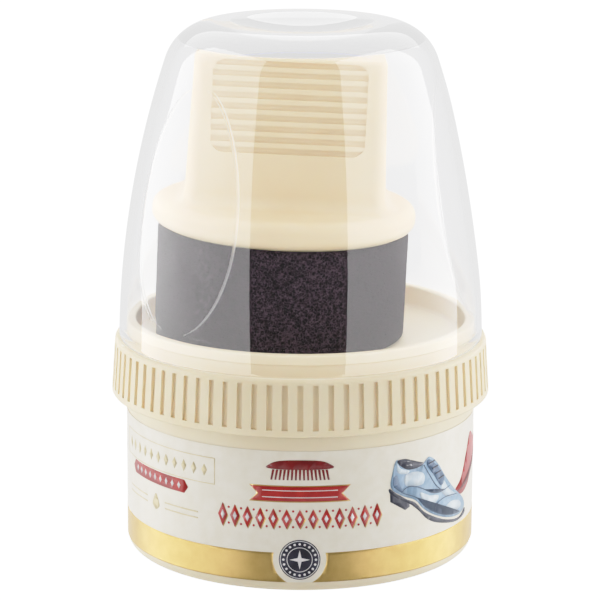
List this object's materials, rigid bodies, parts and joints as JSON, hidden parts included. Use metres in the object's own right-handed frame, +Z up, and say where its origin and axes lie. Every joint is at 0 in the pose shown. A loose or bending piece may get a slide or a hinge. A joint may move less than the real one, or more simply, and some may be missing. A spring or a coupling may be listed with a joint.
{
  "type": "shoe cream jar",
  "caption": "Round cream jar with a ribbed screw cap, a sponge applicator that stands in the cap's recess, and a clear domed cover.",
  "frame": {"origin": "centre of the circle that the jar stands on", "axes": "+Z up along the jar's axis, -Y towards the label's centre and the viewer, +X to the viewer's right"},
  "size_m": [0.0622, 0.0622, 0.087],
  "materials": {
    "jar_plastic": "satin moulded",
    "label_film": "gloss laminated print",
    "cream": "soft wax cream",
    "foil": "embossed foil",
    "liner_foam": "closed-cell foam",
    "cap_plastic": "satin moulded",
    "handle_plastic": "satin moulded",
    "glue": "dried hot-melt",
    "sponge_foam": "open-cell foam",
    "clear_plastic": "clear moulded polystyrene"
  },
  "bodies": {
    "jar": {"jar": "jar_plastic", "wrap_label": "label_film", "cream_fill": "cream", "foil_seal": "foil"},
    "liner": {"liner_wad": "liner_foam"},
    "cap": {"screw_cap": "cap_plastic"},
    "applicator": {"applicator_handle": "handle_plastic", "glue_disc": "glue", "sponge": "sponge_foam"},
    "cover": {"clear_cover": "clear_plastic"}
  },
  "joints": [
    {"name": "cap_rise", "type": "slide", "parent": "jar", "child": "liner", "axis": [0, 0, 1], "range_m": [0, 0.00801]},
    {"name": "cap_turn", "type": "hinge", "parent": "liner", "child": "cap", "pos_m": [0, 0, 0.0263], "axis": [0, 0, 1], "range_deg": [0, 900]},
    {"name": "applicator_lift", "type": "slide", "parent": "cap", "child": "applicator", "axis": [0, 0, 1], "range_m": [0, 0.03]},
    {"name": "cover_lift", "type": "slide", "parent": "applicator", "child": "cover", "axis": [0, 0, 1], "range_m": [0, 0.055]}
  ],
  "couplings": [
    {"joint": "cap_rise", "follows": "cap_turn", "m_per_rad": 0.0005093}
  ]
}
